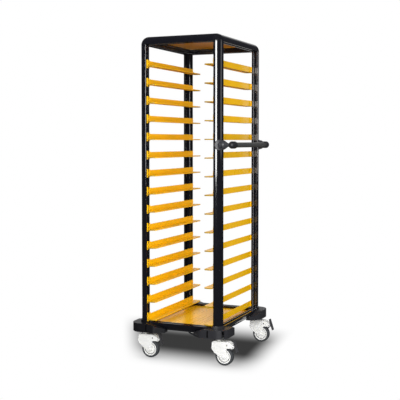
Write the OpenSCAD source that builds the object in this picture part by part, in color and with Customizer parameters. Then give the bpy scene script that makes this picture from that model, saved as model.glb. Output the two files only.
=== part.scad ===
// Tray return trolley: quarter-round frame, hook-on tray runners, push handle and braked casters.
// X runs across the tray opening with the handle at +X, the trays go in from -Y, and Z = 0 is the floor.

/* [Frame] */
// Clear width between the left and right posts
clear_w = 398; // [340:1:480]
// Depth over the front and back posts
frame_d = 640; // [520:1:760]
// Width and radius of the quarter-round extrusion
post_w = 45; // [42:0.5:56]
// Wall of the extrusion
profile_wall = 3; // [2:0.25:3.5]
// Width of the slot in each flat face
slot_w = 16; // [10:0.5:18]
// Width of the chamber behind the slot
chamber_w = 22; // [19:0.5:24]
// Depth of the chamber behind the slot
chamber_d = 7; // [5:0.5:7.5]
// Length of the corner pieces' spigots inside the extrusions
spigot_l = 26; // [15:1:40]

/* [Panels] */
// Sheet of the top panel and the base deck
panel_t = 1.5; // [1:0.1:2.5]
// How far a panel's edge strip reaches into the rail's slot
tongue_d = 2.6; // [1.5:0.1:4]
// How far a panel's face stands above the slot
panel_rise = 1; // [0.5:0.1:3]

/* [Runners] */
// Height from one runner to the next
runner_pitch = 100; // [80:1:110]
// Space under the lowest runner
lowest_gap = 8; // [2:0.5:30]
// Space between the highest runner and the top rails
top_space = 88; // [40:1:140]
// Height of a runner's upright band
band_h = 34; // [28:0.5:45]
// Distance from the post to the runner's tip
runner_reach = 55; // [40:1:70]
// Distance from the post to the band
standoff = 6; // [4:0.5:9]
// Sheet of the runners
runner_t = 1.6; // [1:0.1:2.5]
// Depth of the turned-down lip round the ledge
ledge_lip = 6; // [4:0.5:10]
// Corner radius of the ledge
ledge_r = 18; // [8:1:26]
// Height of the hook ribs at the posts
rib_h = 54; // [40:1:64]
// How far the hook ribs reach below the band
rib_drop = 12; // [0:0.5:16]
// Thickness of a hook rib
rib_t = 3; // [2:0.5:4]
// Distance between the two hook ribs at a post
rib_gap = 25; // [22:0.5:30]
// Shank diameter of the runner bolts
bolt_d = 5; // [4:0.5:6]

/* [Bumpers] */
// How far a bumper stands out from the frame
bumper_out = 41; // [25:1:50]
// Length of a bumper's arm from the post's middle
bumper_arm = 135; // [110:1:160]
// Length of the arm's full-width stretch from the post's middle
bumper_straight = 84; // [60:1:95]
// Corner radius of a bumper
bumper_r = 60; // [35:1:62]
// How far a bumper's lower edge lies below its floor
bumper_lip = 1; // [0:0.5:3]
// How far a bumper's top lies below the base rails' top
bumper_drop = 4; // [2:0.5:12]
// Wall of a bumper
bumper_wall = 6; // [4:0.5:8]
// How far the arms' tops slope down to their tips
arm_slope = 28; // [10:1:32]
// Thickness of an arm's tip
arm_tip = 5; // [3:0.5:10]
// Width of the arm slits
slit_w = 9; // [5:0.5:12]
// Width of the slit in the corner
corner_slit_w = 12; // [6:0.5:16]
// Height of the rim under the arm slits
slit_rim = 5; // [3:0.5:10]
// Distance of the arm slits from the post's middle
slit_at = 38; // [25:1:55]
// Floor under the post
floor_t = 6; // [4:0.5:7]
// Height of the collar round the post's foot
collar_h = 12; // [6:1:20]
// Wall of the collar
collar_t = 6; // [4:0.5:8]

/* [Handle] */
// Height of the bar's axis above the floor
handle_z = 1183; // [900:1:1300]
// Diameter of the bar
bar_d = 28; // [22:0.5:34]
// Wall of the bar's tube
bar_wall = 2; // [1.2:0.1:3]
// Distance from the frame's side to the bar's axis
handle_out = 47; // [42:1:70]
// Distance from the frame's front to the middle of the bar's end ball
handle_inset = 42; // [36:1:80]
// Diameter of the end balls
ball_d = 37; // [36:0.5:46]
// Depth of the bar's socket in an end ball, from the ball's middle
socket_d = 8; // [4:0.5:10]
// Diameter of the sleeve that runs on from an end ball along the bar
sleeve_d = 34; // [31:0.5:36]
// Length of the sleeve from the ball's middle
sleeve_l = 26; // [20:1:40]
// Diameter of the pad on the post
pad_d = 58; // [52:1:62]
// Thickness of the pad on the post
pad_t = 9; // [6:0.5:12]
// Diameter of the flare where the neck leaves the pad
flare_d = 44; // [36:1:48]
// Length of the flare along the neck
flare_l = 42; // [30:1:46]
// Neck diameter at the ball
neck_thin = 15; // [13:0.5:20]
// Distance of the pad's screws above and below the neck
screw_at = 19; // [17:0.5:22]
// Shank diameter of the pad's screws
screw_d = 5; // [4:0.5:6]

/* [Casters] */
// Wheel diameter over the tyre
wheel_d = 100; // [90:1:120]
// Tyre width
tyre_w = 28; // [22:1:32]
// Radial thickness of the tyre
tyre_t = 10; // [6:0.5:16]
// Distance from the swivel axis to the axle
trail = 38; // [34:0.5:42]
// Width over the fork's cheeks
fork_w = 44; // [42:0.5:54]
// Thickness of a cheek
cheek_t = 4.5; // [3:0.25:5]
// Space between the tyre and the fork's crown
crown_gap = 8; // [7:0.5:12]
// Thickness of the fork's crown
crown_t = 23; // [20:0.5:28]
// Diameter of the swivel neck at the fork's top
swivel_wide = 26; // [20:0.5:32]
// Diameter of the swivel neck's sleeve
swivel_thin = 15; // [14:0.5:18]
// Height of the swivel neck, from the fork's top to the bumper's floor
neck_h = 20; // [17:0.5:26]
// Height of the neck's cone
swivel_cone = 9; // [4:0.5:14]
// Diameter of the swivel stem
stem_d = 10; // [8:0.5:10.5]
// Length of the stem's plug inside the post
plug_l = 45; // [20:1:80]
// Diameter of the axle
axle_d = 8; // [6:0.5:10]
// Diameter of the brake pedal's pin
pedal_pin_d = 6; // [4:0.5:7]
// Distance from the axle to the pedal's pin, along the floor
pedal_out = 51.5; // [50:0.5:54]
// How far the pedal's pin lies below the fork's crown
pedal_drop = 4; // [3:0.5:6]
// Length of the pedal plate
pedal_l = 68; // [50:1:70]
// Width of the pedal plate
pedal_w = 24; // [20:1:40]
// Thickness of the pedal plate
pedal_t = 6; // [4:0.5:8]
// Lean of the released pedal
pedal_lean = 18; // [10:0.5:20]
// Turn of the pedal from released to pressed
pedal_turn = 20; // [10:0.5:20]
// Width of the pedal's lug between the horn's ears
lug_w = 16; // [12:0.5:20]

/* [Clearances] */
// Radial running clearance of the swivels, wheels and pedals
run_gap = 0.05; // [0.02:0.01:0.09]
// Radial clearance of a fixed pin in its hole
pin_gap = 0.02; // [0.01:0.01:0.05]
// Clearance between seated moulded faces
seat_gap = 0.3; // [0.1:0.05:0.5]
// Radial clearance of bolts and screws in their holes
hole_gap = 0.2; // [0.1:0.05:0.5]

/* [Hidden] */
$fn = 48;
LEVELS = 15;
CORNERS = [[-1, -1], [1, -1], [-1, 1], [1, 1]];
cut = 1;
yellow = "#f2ab0e";
black = "#1b1c20";
charcoal = "#303136";
grey = "#4a4b50";
white = "#f1f1ee";
tread = "#3b4045";
steel = "#b9bcc0";

// caster heights: the tyre stands on the floor, and the frame stands on the forks' necks
wheel_r = wheel_d / 2;
crown_z = wheel_d + crown_gap;
fork_top = crown_z + crown_t;
floor_z = fork_top + neck_h;

// frame lines
inner_x = clear_w / 2;
half_w = inner_x + post_w;
half_d = frame_d / 2;
inner_y = half_d - post_w;
base_bottom = floor_z + floor_t;
base_top = base_bottom + post_w;
lowest_z = base_top + lowest_gap;
rail_z = lowest_z + (LEVELS - 1) * runner_pitch + band_h + top_space;
frame_h = rail_z + post_w;
slot_mid = post_w / 2;
core_at = 2 * profile_wall + chamber_d;

// bumper lines
bumper_top = base_top - bumper_drop;
slit_top = bumper_top - bumper_wall;
bumper_bottom = floor_z - bumper_lip;
bend_r = 24;
tip_r = 2;

// handle lines
ball_x = half_w + handle_out;
ball_y = half_d - handle_inset;
pad_x = inner_x + post_w * cos(45);
pad_y = inner_y + post_w * sin(45);
screw_grip = pad_t - 2 * hole_gap;
neck_run = norm([ball_x - pad_x, ball_y - pad_y]);
neck_turn = atan2(pad_y - ball_y, ball_x - pad_x);

// caster lines, with the swivel axis under the middle of each post
axis_x = inner_x + post_w / 2;
axis_y = inner_y + post_w / 2;
rim_r = wheel_r - tyre_t;
cheek_in = fork_w / 2 - cheek_t;
swivel_top = floor_z - seat_gap;
stem_head_h = 5;
stem_head_r = stem_d / 2 + 4;
hood_back = 28;
hood_run = 0.48 * wheel_r;
hood_bend = 0.68 * wheel_r;
bay_front = trail + 0.56 * wheel_r;
skirt_top = 1.76 * wheel_r;
skirt_low = 1.36 * wheel_r;
boss_r = 2 * axle_d;
pedal_x = trail + pedal_out;
pedal_z = crown_z - pedal_drop;
pedal_face = 9;
shoe_reach = norm([pedal_x - trail, pedal_z - wheel_r]) - wheel_r - 2 * seat_gap;
shoe_angle = atan2(wheel_r - pedal_z, trail - pedal_x) + pedal_turn - pedal_lean;
lug_r = pedal_pin_d / 2 + 4;

// the origin lies under the middle of the overall box: bumpers at -X, the released pedals at +X
pedal_far = axis_x + pedal_x + (pedal_face + pedal_t) * cos(pedal_lean)
    + (pedal_l / 2 - pedal_t / 2.1) * sin(pedal_lean) + pedal_t / 2.1 * (1 - cos(pedal_lean));
box_shift = (half_w + bumper_out - pedal_far) / 2;

function level_z(i) = lowest_z + (LEVELS - i) * runner_pitch;
function corner_turn(sx, sy) = sx > 0 ? (sy > 0 ? 0 : 270) : (sy > 0 ? 90 : 180);
function unit(v) = v / norm(v);

// one filleted corner at p with radius r between its neighbours a and b
function fillet(a, p, b, r) =
    let (u = unit(a - p), v = unit(b - p))
    let (half = acos(u * v) / 2)
    let (centre = p + unit(u + v) * r / sin(half))
    let (from = p + u * r / tan(half) - centre, to = p + v * r / tan(half) - centre)
    let (start = atan2(from.y, from.x), end = atan2(to.y, to.x))
    let (sweep = ((end - start + 540) % 360) - 180)
    [for (k = [0:8]) centre + r * [cos(start + sweep * k / 8), sin(start + sweep * k / 8)]];

// outline through [x, y, radius] corners; a radius of 0 leaves the corner sharp
function rounded(c) = [for (i = [0:len(c) - 1])
    let (n = len(c), p = [c[i].x, c[i].y])
    let (a = [c[(i + n - 1) % n].x, c[(i + n - 1) % n].y], b = [c[(i + 1) % n].x, c[(i + 1) % n].y])
    each c[i].z > 0 ? fillet(a, p, b, c[i].z) : [p]];

function place_names(stem) = [for (end = ["_fl", "_fr", "_bl", "_br"]) str(stem, end)];
function side_names(stem) = [for (end = ["_front", "_back", "_left", "_right"]) str(stem, end)];
function runner_name(i) = str("runners_", i < 10 ? "0" : "", i);

// Placing

module placed() {
    translate([box_shift, 0, 0])
        children();
}

// puts a piece drawn outward from the inner corner of a post at the corner sx, sy
module at_corner(sx, sy) {
    translate([sx * inner_x, sy * inner_y, 0])
        rotate([0, 0, corner_turn(sx, sy)])
            children();
}

module at_caster(sx, sy) {
    translate([sx * axis_x, sy * axis_y, 0])
        children();
}

// turns a flat outline drawn in X and Z into a slab of width w about Y = 0
module across(w) {
    rotate([90, 0, 0])
        linear_extrude(height = w, center = true)
            children();
}

module pin_y(d, l) {
    rotate([90, 0, 0])
        cylinder(d = d, h = l, center = true);
}

// Frame

module slot_cut() {
    translate([slot_mid - slot_w / 2, -cut])
        square([slot_w, profile_wall + 2 * cut]);
    translate([slot_mid - chamber_w / 2, profile_wall])
        square([chamber_w, chamber_d]);
}

module core_outline(gap) {
    intersection() {
        circle(r = post_w - profile_wall - gap);
        translate([core_at + gap, core_at + gap])
            square(post_w);
    }
}

module frame_profile() {
    difference() {
        intersection() {
            circle(r = post_w);
            square(post_w);
        }
        slot_cut();
        mirror([1, -1, 0])
            slot_cut();
        core_outline(0);
    }
}

module rail_x() {
    rotate([90, 0, 90])
        linear_extrude(height = clear_w, center = true)
            frame_profile();
}

module rail_y() {
    rotate([90, 0, 0])
        linear_extrude(height = 2 * inner_y, center = true)
            frame_profile();
}

module post(sx, sy) {
    color(black) difference() {
        at_corner(sx, sy)
            translate([0, 0, base_bottom])
                linear_extrude(height = rail_z - base_bottom)
                    frame_profile();
        if (sx > 0)
            handle_screw_axes(sy)
                cylinder(d = screw_d + 2 * hole_gap, h = 2 * profile_wall + cut, center = true);
    }
}

module top_rail_x(sy) {
    color(black) translate([0, sy * inner_y, rail_z])
        rotate([0, 0, sy > 0 ? 0 : 180])
            rail_x();
}

module top_rail_y(sx) {
    color(black) translate([sx * inner_x, 0, rail_z])
        rotate([0, 0, sx > 0 ? 0 : 180])
            rail_y();
}

module base_rail_x(sy) {
    color(black) translate([0, sy * inner_y, base_top])
        rotate([0, 0, sy > 0 ? 0 : 180])
            mirror([0, 0, 1])
                rail_x();
}

module base_rail_y(sx) {
    color(black) translate([sx * inner_x, 0, base_top])
        rotate([0, 0, sx > 0 ? 0 : 180])
            mirror([0, 0, 1])
                rail_y();
}

// three-way corner piece: an eighth of a ball with a spigot into the post and into each rail
module top_corner() {
    intersection() {
        sphere(r = post_w);
        cube(post_w);
    }
    mirror([0, 0, 1])
        linear_extrude(height = spigot_l)
            core_outline(seat_gap);
    rotate([90, 0, 0])
        linear_extrude(height = spigot_l)
            core_outline(seat_gap);
    rotate([90, 0, -90])
        mirror([1, 0, 0])
            linear_extrude(height = spigot_l)
                core_outline(seat_gap);
}

module top_corners() {
    color(black)
        for (c = CORNERS)
            at_corner(c.x, c.y)
                translate([0, 0, rail_z])
                    top_corner();
}

// Panels

// folded sheet between four rails, with an edge strip in each rail's slot
module slot_panel(slot_z) {
    w = clear_w - 2 * seat_gap;
    d = 2 * inner_y - 2 * seat_gap;
    face_z = slot_z + slot_w / 2 + panel_rise;
    strip_z = slot_z - slot_w / 2;
    strip_h = slot_w - seat_gap;
    translate([-w / 2, -d / 2, face_z - panel_t])
        cube([w, d, panel_t]);
    translate([0, 0, strip_z])
        linear_extrude(height = face_z - panel_t / 2 - strip_z)
            difference() {
                square([w, d], center = true);
                square([w - 2 * panel_t, d - 2 * panel_t], center = true);
            }
    translate([0, 0, strip_z])
        linear_extrude(height = strip_h)
            difference() {
                union() {
                    square([w - 2 * post_w, d + 2 * tongue_d], center = true);
                    square([w + 2 * tongue_d, d - 2 * post_w], center = true);
                }
                square([w - panel_t, d - panel_t], center = true);
            }
}

module top_panel() {
    color(yellow)
        slot_panel(rail_z + slot_mid);
}

module base_deck() {
    color(yellow)
        slot_panel(base_top - slot_mid);
}

// Runners

module ledge_outline(inset) {
    r = ledge_r - inset;
    translate([standoff, -half_d + ledge_r])
        square([runner_reach - inset - standoff, frame_d - 2 * ledge_r]);
    translate([standoff, -half_d + inset])
        square([runner_reach - ledge_r - standoff, frame_d - 2 * inset]);
    for (end = [-1, 1])
        translate([runner_reach - ledge_r, end * (half_d - ledge_r)])
            circle(r = r);
}

module bolt_places() {
    for (end = [-1, 1])
        translate([0, end * axis_y, band_h / 2 + runner_t])
            rotate([0, 90, 0])
                children();
}

// pressed angle: upright band, ledge with a turned-down lip, and two hook ribs against each post;
// the ribs end a drop below the band, or just above the base rails
module runner(drop) {
    difference() {
        union() {
            translate([standoff, -half_d, 0])
                cube([runner_t, frame_d, band_h]);
            for (end = [-1, 1], side = [-1, 1])
                translate([0, end * axis_y + side * rib_gap / 2 - rib_t / 2, -drop])
                    cube([standoff + runner_t / 2, rib_t, rib_h - rib_drop + drop]);
        }
        bolt_places()
            cylinder(d = bolt_d + 2 * hole_gap, h = 4 * standoff, center = true);
    }
    translate([0, 0, ledge_lip - runner_t])
        linear_extrude(height = runner_t)
            ledge_outline(0);
    linear_extrude(height = ledge_lip)
        difference() {
            ledge_outline(0);
            ledge_outline(runner_t);
        }
}

module both_sides() {
    translate([-inner_x, 0, 0])
        children();
    translate([inner_x, 0, 0])
        rotate([0, 0, 180])
            children();
}

module runners(i) {
    color(yellow)
        both_sides()
            translate([0, 0, level_z(i)])
                runner(min(rib_drop, level_z(i) - base_top - seat_gap));
}

// hammer-head bolt in the post's slot with its nut on the band
module runner_bolt() {
    nut_r = bolt_d * 0.9;
    nut_h = bolt_d * 0.6;
    head_w = slot_w + (chamber_w - slot_w) / 2;
    head_h = chamber_d / 2;
    translate([0, 0, -profile_wall - head_h / 2])
        cylinder(d = bolt_d, h = profile_wall + head_h / 2 + standoff + runner_t + nut_h);
    translate([0, 0, standoff + runner_t])
        cylinder(r = nut_r, h = nut_h, $fn = 6);
    translate([-bolt_d, -head_w / 2, -profile_wall - head_h])
        cube([2 * bolt_d, head_w, head_h]);
}

module runner_bolts() {
    color(steel)
        both_sides()
            for (i = [1:LEVELS])
                translate([0, 0, level_z(i)])
                    bolt_places()
                        runner_bolt();
}

// Bumpers

// plan of a corner bumper, from the post's inner corner; inset draws it in by the wall
module bumper_outline(inset) {
    far = post_w + bumper_out - inset;
    bend = slot_mid - bumper_straight + inset / 2;
    tip = slot_mid - bumper_arm + inset;
    near = post_w + arm_tip - inset;
    inside = post_w / 4 + inset;
    polygon(rounded([
        [tip, inside, 0], [tip, near, tip_r], [bend, far, bend_r], [far, far, bumper_r - inset],
        [far, bend, bend_r], [near, tip, tip_r], [inside, tip, 0], [inside, inside, 0]]));
}

// what the slope takes off the top of the arm along -X
module arm_slope_cut() {
    bend = slot_mid - bumper_straight * 0.7;
    tip = slot_mid - bumper_arm - cut;
    translate([0, post_w + bumper_out + cut, 0])
        rotate([90, 0, 0])
            linear_extrude(height = post_w + bumper_out + cut)
                polygon([[bend, bumper_top], [tip, bumper_top - arm_slope],
                    [tip, bumper_top + cut], [bend, bumper_top + cut]]);
}

module bumper_form(inset) {
    difference() {
        translate([0, 0, bumper_bottom - (inset > 0 ? cut : 0)])
            linear_extrude(height = bumper_top - inset - bumper_bottom + (inset > 0 ? cut : 0))
                bumper_outline(inset);
        translate([0, 0, -inset]) {
            arm_slope_cut();
            mirror([1, -1, 0])
                arm_slope_cut();
        }
    }
}

// clears the base rail that runs along -X from the post
module rail_seat() {
    translate([-bumper_arm, 0, base_top])
        rotate([0, 90, 0])
            cylinder(r = post_w + seat_gap, h = bumper_arm);
}

module arm_slit() {
    from_z = bumper_bottom + slit_rim;
    translate([slot_mid - slit_at - slit_w / 2, post_w + bumper_out - 1.5 * bumper_wall, from_z])
        cube([slit_w, 2 * bumper_wall, slit_top - from_z]);
}

// moulded corner shell with a floor under the post and a web that ties the floor to the top
module bumper(sx, sy) {
    color(charcoal) at_corner(sx, sy) difference() {
        union() {
            difference() {
                bumper_form(0);
                bumper_form(bumper_wall);
            }
            translate([profile_wall, profile_wall, floor_z])
                cube([post_w + bumper_wall, post_w + bumper_wall, floor_t]);
            rotate([0, 0, 45])
                translate([post_w - bumper_wall, -3 * bumper_wall, floor_z])
                    cube([3 * bumper_wall, 6 * bumper_wall, bumper_top - floor_z - cut]);
            translate([0, 0, bumper_top - cut])
                rotate_extrude(angle = 90)
                    translate([post_w - cut, 0])
                        square([collar_t + cut, collar_h + cut]);
        }
        rail_seat();
        mirror([1, -1, 0])
            rail_seat();
        translate([0, 0, base_bottom])
            cylinder(r = post_w + seat_gap, h = frame_h);
        arm_slit();
        mirror([1, -1, 0])
            arm_slit();
        rotate([0, 0, 45])
            translate([post_w + 2 * bumper_wall, -corner_slit_w / 2, bumper_bottom - cut])
                cube([bumper_out + post_w, corner_slit_w, slit_top - bumper_bottom + cut]);
        translate([slot_mid, slot_mid, floor_z - cut])
            cylinder(d = stem_d + 2 * pin_gap, h = floor_t + 2 * cut);
    }
}

// Handle

// the two screws of the pad on the post at sy, drawn along Z outward from the post's surface
module handle_screw_axes(sy) {
    for (side = [-1, 1])
        translate([pad_x, sy * pad_y, handle_z + side * screw_at])
            rotate([0, 0, sy * 45])
                rotate([0, 90, 0])
                    children();
}

// pad on the post's round face, flared neck, and end ball and sleeve with the bar's socket, in one moulding
module handle_clamp(sy) {
    bore_l = socket_d + sleeve_l + cut;
    color(charcoal) difference() {
        union() {
            intersection() {
                translate([inner_x, sy * inner_y, handle_z - pad_d])
                    cylinder(r = post_w + pad_t, h = 2 * pad_d);
                translate([pad_x, sy * pad_y, handle_z])
                    rotate([0, 0, sy * 45])
                        rotate([0, 90, 0])
                            cylinder(d = pad_d, h = post_w, center = true);
            }
            translate([pad_x, sy * pad_y, handle_z])
                rotate([0, 0, -sy * neck_turn])
                    rotate([0, 90, 0]) {
                        cylinder(d1 = flare_d, d2 = neck_thin, h = flare_l);
                        cylinder(d = neck_thin, h = neck_run);
                        mirror([0, 0, 1])
                            cylinder(d1 = flare_d, d2 = flare_d / 2, h = flare_d / 4);
                    }
            translate([ball_x, sy * ball_y, handle_z])
                rotate([90, 0, 0])
                    sphere(d = ball_d);
            translate([ball_x, sy * (ball_y - sleeve_l / 2), handle_z])
                pin_y(sleeve_d, sleeve_l);
        }
        translate([inner_x, sy * inner_y, handle_z - pad_d])
            cylinder(r = post_w + seat_gap, h = 2 * pad_d);
        translate([ball_x, sy * (ball_y + socket_d - bore_l / 2), handle_z])
            pin_y(bar_d + 2 * pin_gap, bore_l);
        handle_screw_axes(sy)
            cylinder(d = screw_d + 2 * hole_gap, h = 2 * screw_grip, center = true);
    }
}

module handle_bar() {
    color(grey) translate([ball_x, 0, handle_z]) difference() {
        pin_y(bar_d, 2 * (ball_y + socket_d));
        pin_y(bar_d - 2 * bar_wall, frame_d);
    }
}

// the screws are driven from inside the post's core, so that their heads don't show
module handle_screws() {
    head_h = screw_d / 2;
    head_z = -profile_wall - 2 * seat_gap - head_h;
    color(steel)
        for (sy = [-1, 1])
            handle_screw_axes(sy) {
                translate([0, 0, head_z])
                    cylinder(d = screw_d, h = screw_grip - seat_gap - head_z);
                translate([0, 0, head_z])
                    cylinder(d = 2 * screw_d, h = head_h);
            }
}

// Casters

// headed stem that hangs the fork under the post, with a plug that stands on the bumper's floor
module caster_stems() {
    head_z = crown_z - seat_gap - stem_head_h;
    color(steel)
        for (c = CORNERS) {
            at_caster(c.x, c.y) {
                translate([0, 0, head_z])
                    cylinder(r = stem_head_r, h = stem_head_h);
                translate([0, 0, head_z])
                    cylinder(d = stem_d, h = base_bottom + plug_l / 2 - head_z);
            }
            at_corner(c.x, c.y)
                translate([0, 0, base_bottom])
                    linear_extrude(height = plug_l)
                        core_outline(seat_gap);
        }
}

// side view of a cheek, from the hood over the wheel to the horn that holds the pedal
module fork_outline() {
    polygon(rounded([
        [-hood_back, fork_top, 14], [trail + hood_run, fork_top, hood_bend],
        [pedal_x + lug_r, pedal_z + 5.5, 6], [pedal_x + 5.5, pedal_z - lug_r - 0.5, 6],
        [trail + boss_r, pedal_z - lug_r, 9], [trail + boss_r - 1, wheel_r - axle_d, 11],
        [trail - axle_d + 1, wheel_r - boss_r, 12], [-hood_back / 2, skirt_low, 20], [-hood_back - 3, skirt_top, 20]]));
}

module fork(sx, sy) {
    slot_from = bay_front - 2;
    color(white) at_caster(sx, sy) difference() {
        union() {
            across(fork_w)
                fork_outline();
            translate([0, 0, fork_top - cut])
                cylinder(d1 = swivel_wide, d2 = swivel_thin, h = swivel_cone + cut);
            translate([0, 0, fork_top])
                cylinder(d = swivel_thin, h = swivel_top - fork_top);
        }
        across(2 * cheek_in)
            polygon(rounded([[cheek_t - hood_back, -wheel_d, 0], [cheek_t - hood_back, crown_z, 12],
                [bay_front, crown_z, 12], [bay_front, -wheel_d, 0]]));
        across(lug_w + 2 * seat_gap)
            translate([slot_from, pedal_z - 2 * lug_r])
                square([pedal_x, 4 * lug_r]);
        translate([0, 0, crown_z - cut])
            cylinder(d = stem_d + 2 * run_gap, h = floor_z - crown_z + cut);
        translate([trail, 0, wheel_r])
            pin_y(axle_d + 2 * pin_gap, 2 * fork_w);
        translate([pedal_x, 0, pedal_z])
            pin_y(pedal_pin_d + 2 * pin_gap, 2 * fork_w);
    }
}

module pins(sx, sy) {
    color(steel) at_caster(sx, sy) {
        translate([trail, 0, wheel_r]) {
            pin_y(axle_d, fork_w + axle_d);
            for (side = [-1, 1])
                translate([0, side * (fork_w / 2 + axle_d / 4), 0])
                    pin_y(1.7 * axle_d, axle_d / 2);
        }
        translate([pedal_x, 0, pedal_z])
            pin_y(pedal_pin_d, fork_w);
    }
}

// turns a profile drawn as radius and width about the axle
module about_axle() {
    translate([trail, 0, wheel_r])
        rotate([90, 0, 0])
            rotate_extrude()
                children();
}

module wheel(sx, sy) {
    hub_r = axle_d / 2 + 8;
    hub_half = cheek_in - 2 * seat_gap;
    rim_half = tyre_w / 2 - 1;
    rim_t = 9;
    groove_d = 2.5;
    web_half = rim_half - groove_d;
    color(white) at_caster(sx, sy) about_axle()
        polygon([[axle_d / 2 + run_gap, -hub_half], [hub_r, -hub_half], [hub_r + 2, -web_half],
            [rim_r - rim_t - 1, -web_half], [rim_r - rim_t, -rim_half], [rim_r, -rim_half],
            [rim_r, rim_half], [rim_r - rim_t, rim_half], [rim_r - rim_t - 1, web_half],
            [hub_r + 2, web_half], [hub_r, hub_half], [axle_d / 2 + run_gap, hub_half]]);
}

module tyre(sx, sy) {
    half = tyre_w / 2;
    tread_r = tyre_t / 2;
    color(tread) at_caster(sx, sy) about_axle()
        polygon(rounded([[rim_r + pin_gap, -half, 0], [wheel_r, -half, tread_r],
            [wheel_r, half, tread_r], [rim_r + pin_gap, half, 0]]));
}

// rocker plate with a lug on the pin and a shoe that meets the tread when it is pressed
module pedal(sx, sy) {
    shoe_r = 4;
    end_r = pedal_t / 2.1;
    color(grey) at_caster(sx, sy) translate([pedal_x, 0, pedal_z]) rotate([0, -pedal_lean, 0]) difference() {
        union() {
            translate([pedal_face, 0, 0])
                across(pedal_w)
                    polygon(rounded([[0, -pedal_l / 2, end_r], [pedal_t, -pedal_l / 2, end_r],
                        [pedal_t, pedal_l / 2, end_r], [0, pedal_l / 2, end_r]]));
            pin_y(2 * lug_r, lug_w);
            across(lug_w)
                polygon([[0, -lug_r], [pedal_face + cut, -2 * lug_r],
                    [pedal_face + cut, 1.5 * lug_r], [0, lug_r]]);
            rotate([0, -shoe_angle, 0]) {
                across(lug_w)
                    translate([0, -shoe_r])
                        square([shoe_reach - shoe_r, 2 * shoe_r]);
                translate([shoe_reach - shoe_r, 0, 0])
                    pin_y(2 * shoe_r, lug_w);
            }
        }
        pin_y(pedal_pin_d + 2 * run_gap, 2 * pedal_w);
    }
}

// Drawing

for (k = [0:3]) {
    sx = CORNERS[k].x;
    sy = CORNERS[k].y;
    placed() post(sx, sy);
    placed() bumper(sx, sy);
    placed() fork(sx, sy);
    placed() pins(sx, sy);
    placed() wheel(sx, sy);
    placed() tyre(sx, sy);
    placed() pedal(sx, sy);
}
placed() base_rail_x(-1);  // base_rail_front
placed() base_rail_x(1);  // base_rail_back
placed() base_rail_y(-1);  // base_rail_left
placed() base_rail_y(1);  // base_rail_right
placed() top_rail_x(-1);  // top_rail_front
placed() top_rail_x(1);  // top_rail_back
placed() top_rail_y(-1);  // top_rail_left
placed() top_rail_y(1);  // top_rail_right
placed() top_corners();
placed() top_panel();
placed() base_deck();
for (i = [1:LEVELS])
    placed() runners(i);
placed() runner_bolts();
placed() handle_clamp(-1);  // handle_clamp_front
placed() handle_clamp(1);  // handle_clamp_back
placed() handle_bar();
placed() handle_screws();
placed() caster_stems();
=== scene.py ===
from math import cos, radians, sin

import bmesh
import bpy
from mathutils import Matrix, Vector


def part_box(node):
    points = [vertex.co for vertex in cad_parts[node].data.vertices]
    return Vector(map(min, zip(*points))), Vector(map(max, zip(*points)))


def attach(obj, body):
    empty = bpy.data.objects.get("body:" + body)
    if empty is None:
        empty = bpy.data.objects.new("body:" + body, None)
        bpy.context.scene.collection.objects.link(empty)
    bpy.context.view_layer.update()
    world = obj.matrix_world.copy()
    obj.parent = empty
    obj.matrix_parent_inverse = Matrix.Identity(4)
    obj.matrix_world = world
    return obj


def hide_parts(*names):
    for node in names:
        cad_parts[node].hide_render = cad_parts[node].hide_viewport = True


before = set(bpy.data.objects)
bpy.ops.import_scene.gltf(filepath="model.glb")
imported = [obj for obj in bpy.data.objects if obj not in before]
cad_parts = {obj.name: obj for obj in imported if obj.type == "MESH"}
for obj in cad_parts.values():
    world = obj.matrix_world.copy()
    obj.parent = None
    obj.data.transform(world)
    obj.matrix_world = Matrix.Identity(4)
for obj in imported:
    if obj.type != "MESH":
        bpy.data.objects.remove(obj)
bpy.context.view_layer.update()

# Viewpoint
# The trolley is seen from the front right, from a little above its handle and about five metres away.
# The lens is dropped slightly, so the posts stay nearly upright in the picture.
SENSOR_WIDTH = 36.0
FOCAL_LENGTH = 76.337
LENS_DROP = -0.04
EYE = (1.904939, -4.486572, 1.203329)
EYE_TILT = 87.1122
EYE_TURN = 23.4299
viewpoint = bpy.data.objects.new("viewpoint", bpy.data.cameras.new("viewpoint"))
viewpoint.data.sensor_width = SENSOR_WIDTH
viewpoint.data.lens = FOCAL_LENGTH
viewpoint.data.shift_y = LENS_DROP
viewpoint.location = EYE
viewpoint.rotation_euler = (radians(EYE_TILT), 0.0, radians(EYE_TURN))
bpy.context.scene.collection.objects.link(viewpoint)
bpy.context.scene.camera = viewpoint
bpy.context.scene.view_settings.view_transform = "Standard"


# Studio floor
# A wide white floor that runs on into a white surround. The eye sees it plain white with one painted soft
# shadow below the trolley and a painted contact shade at the wheels, and shiny pieces see it dim, a little
# brighter far behind.
class Wire:
    """One output of a finish's nodes. Sums, differences and products of wires add Math nodes."""

    def __init__(self, tree, socket=None):
        self.tree = tree
        self.socket = socket

    def node(self, kind, settings, sockets, output=0):
        made = self.tree.nodes.new("ShaderNode" + kind)
        for name, value in settings.items():
            setattr(made, name, value)
        for name, value in sockets.items():
            if isinstance(value, Wire):
                self.tree.links.new(value.socket, made.inputs[name])
            else:
                made.inputs[name].default_value = value
        return Wire(self.tree, made.outputs[output])

    def feeds(self, node, socket):
        self.tree.links.new(self.socket, node.inputs[socket])

    def __add__(self, other):
        return self.node("Math", {"operation": "ADD"}, {0: self, 1: other})

    def __sub__(self, other):
        return self.node("Math", {"operation": "SUBTRACT"}, {0: self, 1: other})

    def __rsub__(self, other):
        return self.node("Math", {"operation": "SUBTRACT"}, {0: other, 1: self})

    def __mul__(self, other):
        return self.node("Math", {"operation": "MULTIPLY"}, {0: self, 1: other})

    __radd__ = __add__
    __rmul__ = __mul__


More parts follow.
